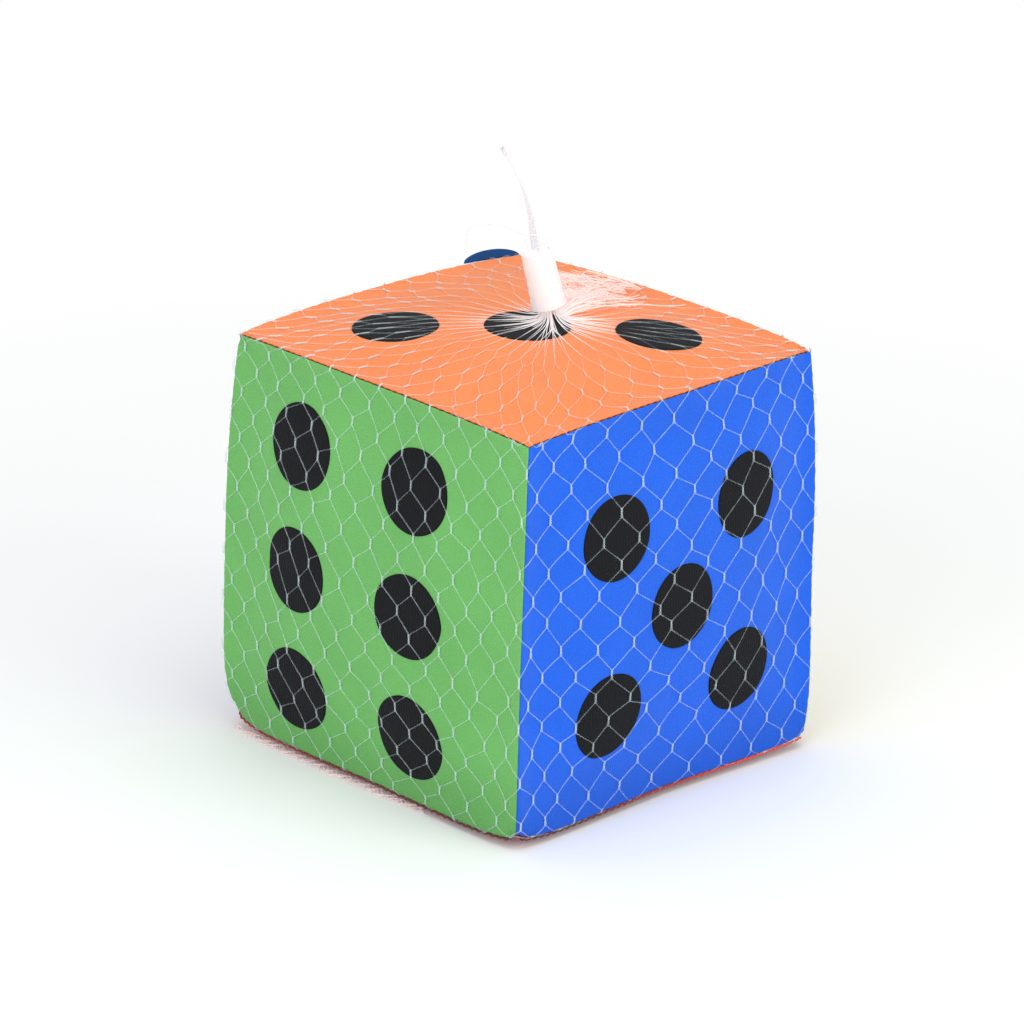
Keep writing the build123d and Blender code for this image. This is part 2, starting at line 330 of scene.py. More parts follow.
def net_plastic(name, tint, clear, solid, glow=0.1):
    """Thin drawn plastic: half clear along the strands and milky where they are welded, with a painted glow
    and painted glints.
    """
    plastic = Finish(name)
    weld = plastic.weld()
    streak = plastic.noise(420.0, 2.0)
    # Painted glints: random lighter flecks in the strands' colour.
    glint = plastic.noise(160.0, 1.0)
    milk = (weld * (solid - clear) + clear + (streak - 0.5) * 0.2).held()
    plastic.surface(
        Base_Color=plastic.mixed(glint, shade(tint, 0.9), shade(tint, 1.04)),
        Roughness=0.28,
        Coat_Weight=0.3,
        Coat_Roughness=0.12,
        # Painted glow: the strands give off light in their own tint, for light that shines through and off the
        # clear plastic.
        Emission_Color=(*tint, 1.0),
        Emission_Strength=glow,
        Alpha=milk,
    )
    plastic.bumped(streak, 0.00006, 0.5)
    return plastic.material


def closure_plastic():
    """White moulded plastic with a soft gloss, faint flow marks from the crimping and a faint painted glow."""
    plastic = Finish("closure_plastic")
    flow = plastic.noise(90.0, 3.0, 0.6)
    fine = plastic.noise(1500.0, 2.0)
    plastic.surface(
        Base_Color=plastic.mixed(flow, (0.92, 0.93, 0.96, 1), (0.97, 0.98, 0.99, 1)),
        # Painted glow: a faint white emission lightens the sleeve.
        Emission_Color=(1.0, 0.99, 1.0, 1.0),
        Emission_Strength=0.05,
        Roughness=fine * 0.12 + 0.3,
        Subsurface_Weight=0.25,
        Subsurface_Radius=(0.004, 0.003, 0.003),
        Subsurface_Scale=0.4,
        Coat_Weight=0.15,
    )
    plastic.bumped(flow * 0.7 + fine * 0.3, 0.0003, 0.35)
    return plastic.material


def thread_finish():
    """Twisted sewing thread, dark brown-red, and clear red where the weld value is high: on the underside
    seams that red is painted reflection of the red underside.
    """
    thread = Finish("seam_thread")
    twist = (thread.along("X") + thread.along("Y") + thread.along("Z")).wave(0.0007)
    fuzz = thread.noise(2200.0, 2.0)
    dark = thread.mixed(twist, (0.05, 0.007, 0.007, 1), (0.17, 0.02, 0.016, 1))
    thread.surface(
        Base_Color=thread.mixed(thread.weld(), dark, (0.8, 0.05, 0.035, 1)),
        Roughness=0.7,
        Sheen_Weight=0.2,
    )
    thread.bumped(twist * 0.7 + fuzz * 0.4, 0.00012, 0.7)
    return thread.material


def ribbon_satin():
    """Dark blue woven ribbon with fine cross ribs and a satin sheen."""
    satin = Finish("label_satin")
    ribs = satin.along("X").wave(0.0006)
    picks = satin.along("Z").wave(0.0009)
    wear = satin.noise(120.0, 3.0)
    satin.surface(
        Base_Color=satin.mixed((wear + ribs * 0.2).held(), (0.002, 0.036, 0.14, 1), (0.004, 0.066, 0.24, 1)),
        Roughness=wear * 0.2 + 0.5,
        Specular_IOR_Level=0.2,
    )
    satin.bumped(ribs * 0.6 + picks * 0.4, 0.00012, 0.6)
    return satin.material


def foam_finish():
    """Pale open-celled foam."""
    foam = Finish("foam_block")
    cells = foam.node("ShaderNodeTexVoronoi", {}, {"Vector": foam.place(), "Scale": 700.0}, out="Distance")
    foam.surface(
        Base_Color=foam.mixed(cells.held(), (0.6, 0.56, 0.45, 1), (0.85, 0.82, 0.72, 1)),
        Roughness=0.95,
    )
    foam.bumped(cells, 0.0006, 0.8)
    return foam.material


# ---- Building pieces ----


def piece(name, points, faces, material, body="dice", replaces=(), weld=None):
    """A mesh piece with smooth faces, riding on its body."""
    mesh = bpy.data.meshes.new(name)
    mesh.from_pydata(np.asarray(points).tolist(), [], [list(map(int, f)) for f in faces])
    mesh.polygons.foreach_set("use_smooth", np.ones(len(mesh.polygons), bool))
    if weld is not None:
        mesh.attributes.new("weld", "FLOAT", "POINT").data.foreach_set("value", np.asarray(weld, np.float32))
    mesh.materials.append(material)
    made = bpy.data.objects.new(name, mesh)
    bpy.context.scene.collection.objects.link(made)
    if body:
        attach(made, body)
    if replaces:
        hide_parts(*replaces)
    return made


def joined(parts):
    """Several (points, faces, weld) sets as one."""
    points, faces, weld, start = [], [], [], 0
    for some_points, some_faces, some_weld in parts:
        points.append(some_points)
        faces += [[v + start for v in face] for face in some_faces]
        weld.append(some_weld)
        start += len(some_points)
    return np.concatenate(points), faces, np.concatenate(weld)


def bundle(name, parts, material, replaces, body="dice"):
    """A piece of several strands, with their weld values."""
    points, faces, weld = joined(parts)
    return piece(name, points, faces, material, body, replaces, weld)


def grid_faces(rows, columns, start=0, closed=False):
    """Quads of a grid of points that is stored row by row."""
    across = columns if closed else columns - 1
    i, j = np.meshgrid(np.arange(rows - 1), np.arange(across), indexing="ij")
    k = (j + 1) % columns
    quads = [i * columns + j, (i + 1) * columns + j, (i + 1) * columns + k, i * columns + k]
    return np.stack(quads, -1).reshape(-1, 4) + start


def tubes(paths, normals, radii, around=6):
    """Round strands along many paths at once, given a normal at each point. Returns points and faces."""
    paths = np.asarray(paths, float)
    count, steps = paths.shape[:2]
    ahead = np.gradient(paths, axis=1)
    ahead /= np.linalg.norm(ahead, axis=2, keepdims=True) + 1e-12
    across = np.cross(ahead, normals)
    across /= np.linalg.norm(across, axis=2, keepdims=True) + 1e-12
    out = np.cross(across, ahead)
    turn = np.arange(around) * tau / around
    radii = np.broadcast_to(radii, (count, steps))[:, :, None, None]
    ring = across[:, :, None] * np.cos(turn)[:, None] + out[:, :, None] * np.sin(turn)[:, None]
    points = paths[:, :, None] + ring * radii
    faces = []
    for strand in range(count):
        start = strand * steps * around
        faces += grid_faces(steps, around, start, closed=True).tolist()
        faces.append(list(range(start, start + around)))
        faces.append(list(range(start + (steps - 1) * around, start + steps * around))[::-1])
    return points.reshape(-1, 3), faces


def with_weld(made, amount):
    """Points and faces with one weld value throughout."""
    return (*made, np.full(len(made[0]), amount))


def eased(t):
    t = np.clip(t, 0, 1)
    return t * t * (3 - 2 * t)


def softened(paths, times=2):
    """Paths with their inner points drawn towards their neighbours."""
    for _ in range(times):
        paths = paths.copy()
        paths[:, 1:-1] = (paths[:, :-2] + 2 * paths[:, 1:-1] + paths[:, 2:]) / 4
    return paths


# ---- Shape of the dice ----


def reach(a, b):
    """Height of a side's ball over the dice's centre, along the direction (1, a, b)."""
    low = FACE - BALL_R
    spread = 1 + a * a + b * b
    return (low + np.sqrt(low**2 - spread * (low**2 - BALL_R**2))) / spread


swell = np.zeros((6, SWELL_CELLS + 1, SWELL_CELLS + 1))


def swell_at(side, a, b):
    """How far the settled cloth stands out from the plain shape."""
    u = np.clip((a + 1) / 2 * SWELL_CELLS, 0, SWELL_CELLS - 1e-6)
    v = np.clip((b + 1) / 2 * SWELL_CELLS, 0, SWELL_CELLS - 1e-6)
    i, j = u.astype(int), v.astype(int)
    u, v = u - i, v - j
    near = swell[side, i, j] * (1 - u) + swell[side, i + 1, j] * u
    far = swell[side, i, j + 1] * (1 - u) + swell[side, i + 1, j + 1] * u
    return near * (1 - v) + far * v


def lay(side, a, b, lift=0.0):
    """Points and outward normals on the cover, or at a height over it. a and b run from -1 to 1 on a side."""
    side, a, b, lift = np.broadcast_arrays(side, np.asarray(a, float), np.asarray(b, float), lift)
    high, edge_a, edge_b = reach(a, b), reach(np.ones_like(a), b), reach(a, np.ones_like(a))
    spot = np.stack([high, high * a, high * b], -1)
    gap = np.stack([edge_a - abs(spot[..., 1]), edge_b - abs(spot[..., 2])], -1)
    bases = BASES[side]
    towards = np.einsum("...i,...ij->...j", spot, bases)
    corner_r = np.zeros(a.shape)
    for corner, radius in CORNERS.items():
        corner_r[(towards * corner > 0).all(-1)] = radius
    low_gap = np.where(side == UNDER, 0, gap[..., 1])
    low = np.exp(-((low_gap / UNDER_SPAN) ** 2)) * (towards[..., 2] < 0)
    edge_r = EDGE_R + (UNDER_EDGE_R - EDGE_R) * low
    round_r = edge_r + (corner_r - edge_r) * np.exp(-(gap**2).sum(-1) / CORNER_SPAN**2)
    core = np.stack(
        [
            high - round_r,
            np.sign(a) * np.minimum(abs(spot[..., 1]), edge_a - round_r),
            np.sign(b) * np.minimum(abs(spot[..., 2]), edge_b - round_r),
        ],
        -1,
    )
    outward = spot - core
    outward /= np.linalg.norm(outward, axis=-1, keepdims=True)
    resting = core + outward * round_r[..., None]
    normal = outward.copy()
    normal[..., 1:] += spot[..., 1:] / BALL_R
    normal /= np.linalg.norm(normal, axis=-1, keepdims=True)
    local = resting + normal * swell_at(side, a, b)[..., None]
    point = np.einsum("...i,...ij->...j", local, bases)
    normal = np.einsum("...i,...ij->...j", normal, bases)
    for corner, pull in PULLS.items():
        nearness = np.clip(point * corner / HALF_EDGE, 0, 1).prod(-1) ** PULL_FALL
        point = point + nearness[..., None] * pull
    pressed = eased((-REST_DEPTH + PRESS_BAND - point[..., 2]) / (2 * PRESS_BAND))
    point[..., 2] = np.maximum(point[..., 2], -REST_DEPTH)
    flat = (pressed * (side == UNDER))[..., None]
    normal = normal * (1 - flat) + np.array([0, 0, -1.0]) * flat
    return CENTRE + point + normal * lift[..., None], normal


def on_side(side, x, y, lift=0.0):
    """Points and normals at distances x and y from the middle of a side."""
    high = FACE - BALL_R + np.sqrt(BALL_R**2 - x**2 - y**2)
    return lay(side, x / high, y / high, lift)


CLOTH = {
    "quality": 5,
    "mass": 0.15,
    "tension_stiffness": 25,
    "compression_stiffness": 25,
    "shear_stiffness": 12,
    "bending_stiffness": 2.5,
    "use_pressure": True,
    "uniform_pressure_force": 4,
    "shrink_min": -0.006,
    "vertex_group_mass": "sewn",
}


def settle_cover():
    """Lets the sewn cover settle over its filling as cloth, and keeps how far each point moved."""
    steps = np.linspace(-1, 1, SWELL_CELLS + 1)
    a, b = np.meshgrid(steps, steps, indexing="ij")
    points, normals, faces, edge = [], [], [], []
    for side in range(6):
        spots, outward = lay(side, a, b)
        faces += grid_faces(SWELL_CELLS + 1, SWELL_CELLS + 1, len(points) * a.size).tolist()
        points.append(spots.reshape(-1, 3))
        normals.append(outward.reshape(-1, 3))
        edge.append((np.maximum(abs(a), abs(b)) > 1 - 1e-9).ravel())
    points, normals, edge = np.concatenate(points), np.concatenate(normals), np.concatenate(edge)
    _, first, shared = np.unique(np.round(points, 6), axis=0, return_index=True, return_inverse=True)
    shared = shared.ravel()
    start = points[first] - normals[first] * np.where(edge[first], 0, SLACK)[:, None]
    mesh = bpy.data.meshes.new("cover_blank")
    mesh.from_pydata(start.tolist(), [], shared[np.array(faces)].tolist())
    blank = bpy.data.objects.new("cover_blank", mesh)
    bpy.context.scene.collection.objects.link(blank)
    bpy.context.view_layer.objects.active = blank
    sewn = blank.vertex_groups.new(name="sewn")
    sewn.add(np.flatnonzero(edge[first]).tolist(), 1.0, "REPLACE")
    cloth = blank.modifiers.new("cloth", "CLOTH")
    for key, value in CLOTH.items():
        setattr(cloth.settings, key, value)
    cloth.settings.effector_weights.gravity = 0
    cloth.collision_settings.use_collision = False
    for step in range(1, SETTLE_STEPS + 1):
        bpy.context.scene.frame_set(step)
    settled = blank.evaluated_get(bpy.context.evaluated_depsgraph_get()).data
    moved = np.zeros(len(start) * 3)
    settled.vertices.foreach_get("co", moved)
    out = ((moved.reshape(-1, 3)[shared] - points) * normals).sum(1)
    bpy.data.objects.remove(blank)
    bpy.context.scene.frame_set(1)
    out = out.reshape(6, SWELL_CELLS + 1, SWELL_CELLS + 1)
    out -= out[:, SWELL_RIM:-SWELL_RIM, SWELL_RIM:-SWELL_RIM].mean((1, 2))[:, None, None]
    rim = eased((1 - np.maximum(abs(a), abs(b))) * 7)
    return np.clip(out * rim, -SWELL_CAP, SWELL_CAP)


swell = settle_cover()

# ---- Cover panels ----


def from_seams():
    """Grid lines over a side, closer together near its seams."""
    near = np.array([0, 0.3, 0.65, 1.0, 1.5, 2.2, 3.1, 4.2, 5.5]) * MM
    half = np.concatenate([near, np.linspace(7 * MM, HALF_EDGE, 40)])
    lines = -1 + half / HALF_EDGE
    return np.concatenate([lines, -lines[-2::-1]])


def ripple(seed, along, pitch):
    """Uneven ripples along a seam."""
    chance = np.random.default_rng(seed)
    total = np.zeros_like(along)
    for share in (0.7, 1.0, 1.45):
        total += np.sin(tau * along / (pitch * share) + chance.uniform(0, tau)) * chance.uniform(0.4, 1)
    return total / 1.6


def panel_relief(side, a, b):
    """Seam groove, gathers beside the seams and soft creases running in from the corners."""
    x, y = a * HALF_EDGE, b * HALF_EDGE
    gaps = np.stack([HALF_EDGE - x, HALF_EDGE + x, HALF_EDGE - y, HALF_EDGE + y])
    nearest = gaps.min(0)
    upright = (side not in (TOP, UNDER)) & (np.minimum(gaps[0], gaps[1]) < np.minimum(gaps[2], gaps[3]))
    depth = np.where(upright, UPRIGHT_GROOVE, SEAM_GROOVE)
    relief = -depth * np.clip(1 - nearest / GROOVE_W, 0, 1) ** 2
    for k, gap in enumerate(gaps):
        along = y if k < 2 else x
        relief += PUCKER * np.exp(-gap / PUCKER_REACH) * ripple(20 * side + k, along, PUCKER_PITCH) * (gap > 0)
    chance = np.random.default_rng(500 + side)
    for corner in ((-1, -1), (-1, 1), (1, -1), (1, 1)):
        from_corner = np.stack([HALF_EDGE - corner[0] * x, HALF_EDGE - corner[1] * y])
        for heading in chance.uniform(0.25, 1.3, CREASES):
            length, width = chance.uniform(9, 24) * MM, chance.uniform(0.9, 1.8) * MM
            ahead = from_corner[0] * cos(heading) + from_corner[1] * sin(heading)
            off = from_corner[0] * sin(heading) - from_corner[1] * cos(heading)
            fade = eased(ahead / (4 * MM)) * eased(1 - ahead / length)
            relief -= CREASE * chance.uniform(0.3, 1) * fade * np.exp(-((off / width) ** 2))
    return relief


CLOTH_COLOURS = {
    "one": ("yellow", (0.9, 0.62, 0.03), "Y", "Z"),
    "two": ("purple", (0.22, 0.08, 0.42), "X", "Z"),
    "three": ("orange", (0.93, 0.246, 0.076), "X", "Y"),
    "four": ("red", (0.62, 0.022, 0.02), "X", "Y"),
    "five": ("blue", (0.01, 0.131, 0.8), "X", "Z"),
    "six": ("green", (0.155, 0.46, 0.125), "Y", "Z"),
}
lines = from_seams()
grid_a, grid_b = np.meshgrid(lines, lines, indexing="ij")

for index, name in enumerate(NAMES):
    colour_name, colour, across, up = CLOTH_COLOURS[name]
    relief = panel_relief(index, grid_a, grid_b)
    spots, _ = lay(index, grid_a, grid_b, relief)
    faces = grid_faces(len(lines), len(lines))
    fabric = knit(f"knit_{colour_name}", colour, across, up)
    slot, node = f"cover_{colour_name}", f"cover_panel_{name}"
    panel = piece(f"panel_{name}", spots.reshape(-1, 3), faces, fabric, replaces=[node])
    backing = panel.modifiers.new("backing", "SOLIDIFY")
    backing.thickness = PANEL_T
    backing.offset = -1

# ---- Pips ----


def pip_centres(name):
    """Middle of each of a node's separate round patches."""
    work = bmesh.new()
    work.from_mesh(frame["nodes"][name].data)
    bmesh.ops.remove_doubles(work, verts=work.verts, dist=1e-5)
    left, centres = set(work.verts), []
    while left:
        island, edge = set(), [left.pop()]
        while edge:
            vertex = edge.pop()
            island.add(vertex)
            for link in vertex.link_edges:
                other = link.other_vert(vertex)
                if other in left:
                    left.remove(other)
                    edge.append(other)
        spots = np.array([v.co for v in island])
        centres.append((spots.min(0) + spots.max(0)) / 2)
    work.free()
    return sorted(centres, key=lambda spot: tuple(np.round(spot, 4)))


felt = pip_felt()
PIP_PROFILE = [(share, 1.0) for share in (0.08, 0.2, 0.35, 0.5, 0.65, 0.8, 0.93, 0.975)]
PIP_PROFILE += [(0.992, 0.75), (0.999, 0.35), (1.0, -0.25)]
PIP_AROUND = 72
turns = np.arange(PIP_AROUND) * tau / PIP_AROUND

for index, name in enumerate(NAMES):
    chance = np.random.default_rng(70 + index)
    patches = []
    for centre in pip_centres(f"pips_{name}"):
        _, x, y = BASES[index] @ (centre - CENTRE)
        wobble = 1 + 0.006 * np.sin(2 * turns + chance.uniform(0, tau)) + 0.004 * np.sin(
            5 * turns + chance.uniform(0, tau)
        )
        shares = np.array([p[0] for p in PIP_PROFILE])[:, None] * wobble * PIP_R
        lifts = np.array([p[1] for p in PIP_PROFILE])[:, None] * np.ones(PIP_AROUND) * PIP_STAND
        spots, _ = on_side(index, x + shares * np.cos(turns), y + shares * np.sin(turns), lifts)
        faces = grid_faces(len(PIP_PROFILE), PIP_AROUND, closed=True).tolist()
        faces.append(list(range(PIP_AROUND)))
        patches.append(with_weld((spots.reshape(-1, 3), faces), 0.0))
    points, faces, _ = joined(patches)
    piece(f"pip_patches_{name}", points, faces, felt, replaces=[f"pips_{name}"])

# ---- Sewing: a lockstitch down every seam ----

stitched = []
FRONT_FOOT = CENTRE - HALF_EDGE
run = np.linspace(-0.955, 0.955, 260)
phase = run * HALF_EDGE * tau / STITCH
for i in range(6):
    for j in range(i + 1, 6):
        out, other = BASES[i][0], BASES[j][0]
        if abs(out @ other) > 0.5:
            continue
        along_a, along_b = BASES[i][1] @ other, BASES[i][2] @ other
        a = np.full(run.shape, along_a) if abs(along_a) > 0.5 else run
        b = np.full(run.shape, along_b) if abs(along_b) > 0.5 else run
        upright, under = out[2] == other[2] == 0, out[2] + other[2] < 0
        sunk = UPRIGHT_GROOVE * 2.2 if upright else SEAM_GROOVE * 0.62
        lift = (UNDER_THREAD_LIFT if under else -sunk) + STITCH_DIP * np.sin(phase)
        spots, normals = lay(i, a, b, lift)
        spots += (out - other) * (STITCH_SWAY * np.cos(phase))[:, None]
        made = tubes(spots[None], normals[None], UNDER_THREAD_R if under else THREAD_R)
        # Painted light: the underside thread stays dark near the front corner as painted contact shadow and
        # turns clear red farther on as painted reflection of the red underside.
        from_front = (made[0] - FRONT_FOOT) @ (1.0, 0.45, 0.0)
        stitched.append((*made, eased((from_front - RED_FROM) / RED_OVER) * under))
bundle("seam_stitches", stitched, thread_finish(), ["seam_threads"])

# ---- Seam label: a folded ribbon, both layers caught in the top rear seam ----

label_low, label_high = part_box("seam_label")
LABEL_HALF = (label_high.x - label_low.x) / 2
LABEL_MIDDLE = (label_high.x + label_low.x) / 2
LABEL_TILT = radians(20)
LABEL_RISE = 3.5 * MM
LABEL_SPREAD = 0.55 * MM  # each layer's distance from the middle of the fold
rows, columns = 25, 41
t = np.linspace(-1, 1, columns)
x = LABEL_MIDDLE + t * LABEL_HALF
rise = LABEL_RISE * np.clip(1 - t**2, 0, 1) ** 0.5
bend = 0.35 * MM * np.sin(3.1 * t + 0.6) + 0.25 * MM * np.sin(8 * t)
leaning = np.array([0, sin(LABEL_TILT), cos(LABEL_TILT)])
flat = np.array([0, -cos(LABEL_TILT), sin(LABEL_TILT)])
foot, _ = on_side(TOP, x, HALF_EDGE - 0.6 * MM, 0.3 * MM)
ribbon = []
for f in np.linspace(-1, 1, rows):
    height = rise * (1 - abs(f) ** 2.2) + 0.15 * MM
    thick = np.sign(f) * LABEL_SPREAD * min(1.0, abs(f) * 3.2)
    ribbon.append(foot + leaning * height[:, None] + flat * (thick + bend * height / (7 * MM))[:, None])
points = np.array(ribbon).reshape(-1, 3)
faces = grid_faces(rows, columns)
label = piece("folded_label", points, faces, ribbon_satin(), replaces=["seam_label"])
ribbon_body = label.modifiers.new("ribbon", "SOLIDIFY")
ribbon_body.thickness = 0.28 * MM
ribbon_body.offset = 0

# ---- Net bag ----

# Column marks round the bag, at the corners and at the middles of the sides, with the row that reaches the
# top edge there and the row that reaches the bottom edge.
ROUND = [
    (0.0, 6.5, 23.3),
    (5.6, 5.6, 22.5),
    (11.5, 5.9, 21.8),
    (16.0, 5.4, 20.3),
    (21.0, 5.9, 20.8),
    (25.7, 5.5, 21.2),
    (30.5, 6.2, 22.2),
    (35.2, 5.7, 22.0),
    (40.0, 6.5, 23.3),
]
# Sides in the order that the columns meet them, with the first and last column of each.
TURN = [("six", 0.0, 11.5), ("five", 11.5, 21.0), ("one", 21.0, 30.5), ("two", 30.5, 40.0)]
GATHER_XY = PIVOT[:2] - CENTRE[:2]
WELD_LINE = 55.0 * MM


def between_marks(column, which):
    marks = np.array([m[0] for m in ROUND])
    values = np.array([m[which] for m in ROUND])
    column = np.mod(column, COLUMNS)
    k = np.clip(np.searchsorted(marks, column, side="right") - 1, 0, len(marks) - 2)
    t = (column - marks[k]) / (marks[k + 1] - marks[k])
    return values[k] + (values[k + 1] - values[k]) * eased(t)


def net_place(column, row, lift):
    """Points and normals of the net at any column round the bag and row down it."""
    column, row, lift = np.broadcast_arrays(np.asarray(column, float), np.asarray(row, float), lift)
    column = np.mod(column, COLUMNS)
    top_row, low_row = between_marks(column, 1), between_marks(column, 2)
    side = np.zeros(column.shape, int)
    a = np.zeros(column.shape)
    for name, first, last in TURN:
        here = (column >= first) & (column <= last)
        f = (column[here] - first) / (last - first)
        if name == "five":
            f = f - 0.012 * np.sin(tau * f)
        side[here] = NAMES.index(name)
        a[here] = 2 * f - 1
    b = 1 - 2 * (row - top_row) / (low_row - top_row)
    lift = lift * (1 - 0.8 * eased((row - low_row + 0.9) / 0.8))
    spots, normals = lay(side, a, np.clip(b, -1, 1), lift)
    edge_top = (BASES[side, 0] + BASES[side, 1] * a[..., None])[..., :2] * HALF_EDGE
    share = np.clip(row / top_row, 0, 1) ** 0.56
    flat = GATHER_XY + (edge_top - GATHER_XY) * share[..., None]
    over = row < top_row
    if over.any():
        spots[over], normals[over] = on_side(TOP, *flat[over].T, lift[over])
    under = row > low_row
    share = np.clip((row - low_row) / (ROWS - low_row), 0, 1)
    weld = np.stack([np.zeros(column.shape), np.clip(edge_top[..., 1] * 0.75, -WELD_LINE, WELD_LINE)], -1)
    flat = edge_top + (weld - edge_top) * share[..., None]
    if under.any():
        x, y = flat[under].T
        low, down = on_side(UNDER, x, -y, lift[under])
        low[:, 2] = np.maximum(low[:, 2], STRAND_R + 0.12 * MM)
        spots[under], normals[under] = low, down
    return spots, normals


chance = np.random.default_rng(11)
column_shift = chance.normal(0, 0.05, (ROWS + 1, 2 * COLUMNS))
row_shift = chance.normal(0, 0.07, (ROWS + 1, 2 * COLUMNS))
lift_shift = chance.uniform(0, 0.15, (ROWS + 1, 2 * COLUMNS)) * MM
WARPS = [(chance.integers(1, 6), chance.uniform(0.12, 0.4), chance.uniform(0, tau)) for _ in range(6)]


def row_pitch(column):
    """Distance between rows of welds on a side."""
    return 2 * HALF_EDGE / (between_marks(column, 2) - between_marks(column, 1))


def strand_marks(hand, first_row):
    """Column, row, lift and thickness along every strand of one hand, from weld to weld."""
    rows = np.arange(first_row, ROWS + 1)
    starts = np.arange(COLUMNS)
    column = starts[:, None] + hand * rows / 2
    ring = np.mod(np.round(2 * column).astype(int), 2 * COLUMNS)
    real_column = column + column_shift[rows, ring]
    real_row = rows + row_shift[rows, ring]
    for turns_round, rate, phase in WARPS:
        real_row = real_row + WARP_ROWS * np.sin(tau * turns_round * column / COLUMNS + rate * rows + phase)
        swing = tau * turns_round * column / COLUMNS - rate * rows + phase
        real_column = real_column + WARP_COLUMNS * np.cos(swing)
    real_row[:, 0] = first_row
    lifts = STRAND_LIFT + lift_shift[rows, ring]
    half = WELD_HALF / row_pitch(real_column)
    aside = WELD_ASIDE * COLUMNS / (8 * HALF_EDGE)
    last = len(rows) - 1
    marks = []
    for k in range(len(rows)):
        column, row, lift = real_column[:, k], real_row[:, k], lifts[:, k]
        for step in (-1, 0, 1):
            if (k > 0 or step > 0) and (k < last or step < 0):
                at_weld = column + hand * aside * step, row + half[:, k] * step
                marks.append((*at_weld, lift, np.ones(COLUMNS)))
        if k == last:
            break
        column, row = column + hand * aside, row + half[:, k]
        next_column, next_row = real_column[:, k + 1] - hand * aside, real_row[:, k + 1] - half[:, k + 1]
        for share in (0.06, 0.25, 0.5, 0.75, 0.94):
            between = column + (next_column - column) * share, row + (next_row - row) * share
            slack = lift + (lifts[:, k + 1] - lift) * share - NET_SLACK * sin(pi * share)
            marks.append((*between, slack, np.zeros(COLUMNS)))
    return [np.array(values).T for values in zip(*marks)]


# Both carry painted glow. The neck's lighter, warmer tint and stronger glow are painted light on strands that
# face away from the lamps.
clear_net = net_plastic("net_plastic", (0.78, 0.92, 0.96), 0.13, 0.2, glow=0.06)
neck_plastic = net_plastic("neck_plastic", (1.0, 0.93, 0.93), 0.11, 0.6, glow=0.15)
parts = []
GATHER_ROW = 1
ends = {}
for hand in (-1, 1):
    column, row, lift, weld = strand_marks(hand, GATHER_ROW)
    spots, normals = net_place(column, row, lift + hand * HAND_LIFT)
    welded = weld * eased((row - 1.4) / 1.0)
    radii = (STRAND_R + (WELD_R - STRAND_R) * welded) * (0.72 + 0.28 * eased((row - 1) / 4))
    made = tubes(spots, normals, radii, 5)
    parts.append((*made, np.repeat((welded - 0.45 * (1 - eased((row - 4.5) / 1.5))).ravel(), 5)))
    ends[hand] = spots[:, 0]
bundle("net_mesh", parts, clear_net, ["net_bag"])

# ---- Gather: every strand runs in to the neck and up into the sleeve ----

lean_axis = UP * cos(CLOSURE_LEAN) - LEAN_X * sin(CLOSURE_LEAN)
parts = []
neck_steps = np.linspace(0, 1, 34)
bunch = np.random.default_rng(5)
for hand in (-1, 1):
    foot = ends[hand]
    bearing = np.arctan2(foot[:, 1] - PIVOT[1], foot[:, 0] - PIVOT[0])
    bearing += 0.13 * np.sin(7 * bearing + 1.0) + bunch.normal(0.06 * hand, 0.08, COLUMNS)
    ring = bunch.uniform(1.5, 3.4, COLUMNS) * MM
    outward = np.stack([np.cos(bearing), np.sin(bearing), np.zeros(COLUMNS)], -1)
    near = PIVOT + outward * (7.5 * MM + bunch.uniform(0, 2, COLUMNS) * MM)[:, None]
    near[:, 2] -= 1.7 * MM + bunch.uniform(0, 1.0, COLUMNS) * MM
    throat = PIVOT + outward * ring[:, None] - UP * 0.3 * MM
    top = PIVOT + lean_axis * 6.5 * MM + outward * (ring * 0.95)[:, None]
    mid = foot + (near - foot) * 0.55
    mid[:, 2] = foot[:, 2] + (near[:, 2] - foot[:, 2]) * 0.3
    stations = np.stack([foot, mid, near, throat, top], 1)
    places = np.interp(neck_steps, [0, 0.4, 0.68, 0.86, 1], np.arange(5))
    k = np.clip(places.astype(int), 0, 3)
    t = (places - k)[None, :, None]
    paths = softened(stations[:, k] * (1 - t) + stations[:, k + 1] * t, 6)
    steep = eased((neck_steps - 0.6) / 0.25)[None, :, None]
    normals = UP * (1 - steep) + outward[:, None] * steep
    made = tubes(paths, normals, STRAND_R * 0.72)
    near_sleeve = eased((neck_steps - 0.15) / 0.6)
    parts.append((*made, np.tile(np.repeat(near_sleeve, 6), COLUMNS)))
gather = bundle("net_neck", parts, neck_plastic, ["net_gather"], body=None)
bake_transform(gather)

# ---- Closure: a tapered moulded sleeve, crimped on the bunch ----


def on_axis(height, out, turn):
    """A point round the closure's leaning axis."""
    side = LEAN_X * cos(CLOSURE_LEAN) + UP * sin(CLOSURE_LEAN)
    height, out, turn = np.broadcast_arrays(height, out, turn)
    return (
        PIVOT
        + lean_axis * height[..., None]
        + side * (out * np.cos(turn))[..., None]
        + LEAN_BACK * (out * np.sin(turn))[..., None]
    )


def lip(height):
    """How far in the rounded lip lies at a height over its end."""
    return LIP_R * (1 - np.sqrt(np.clip(1 - (1 - np.clip(height / LIP_R, 0, 1)) ** 2, 0, 1)))


